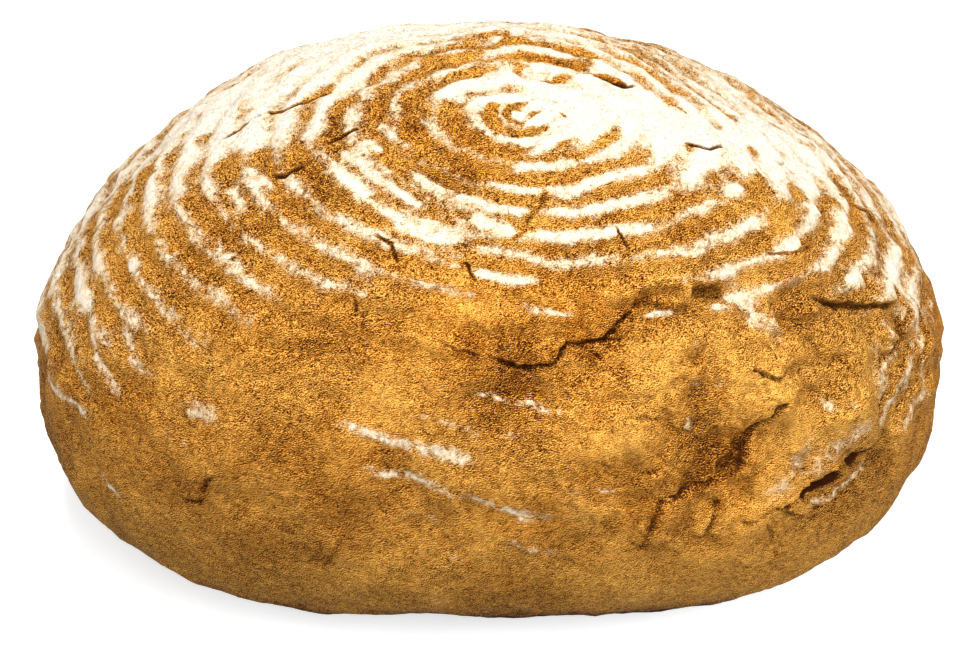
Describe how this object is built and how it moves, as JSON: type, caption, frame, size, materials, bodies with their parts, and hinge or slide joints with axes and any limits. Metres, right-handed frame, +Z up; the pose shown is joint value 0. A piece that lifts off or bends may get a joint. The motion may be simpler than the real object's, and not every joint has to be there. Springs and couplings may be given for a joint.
{
  "type": "loaf of bread",
  "caption": "Round hearth loaf proofed in a coiled cane basket: domed floured crust with spiral ridges, cracks and a side burst, resting on a flat sole.",
  "frame": {"origin": "centre of the loaf's footprint, on the plane it rests on", "axes": "+Z up from the sole through the crown; -Y towards the front, the side where the crust has burst on the right; +X to the right seen from the front"},
  "size_m": [0.2524, 0.2488, 0.1311],
  "materials": {
    "crust": "matt baked bread crust, golden brown, dusted with pale flour in spiral rings"
  },
  "bodies": {
    "root": {"loaf": "crust"}
  },
  "joints": []
}
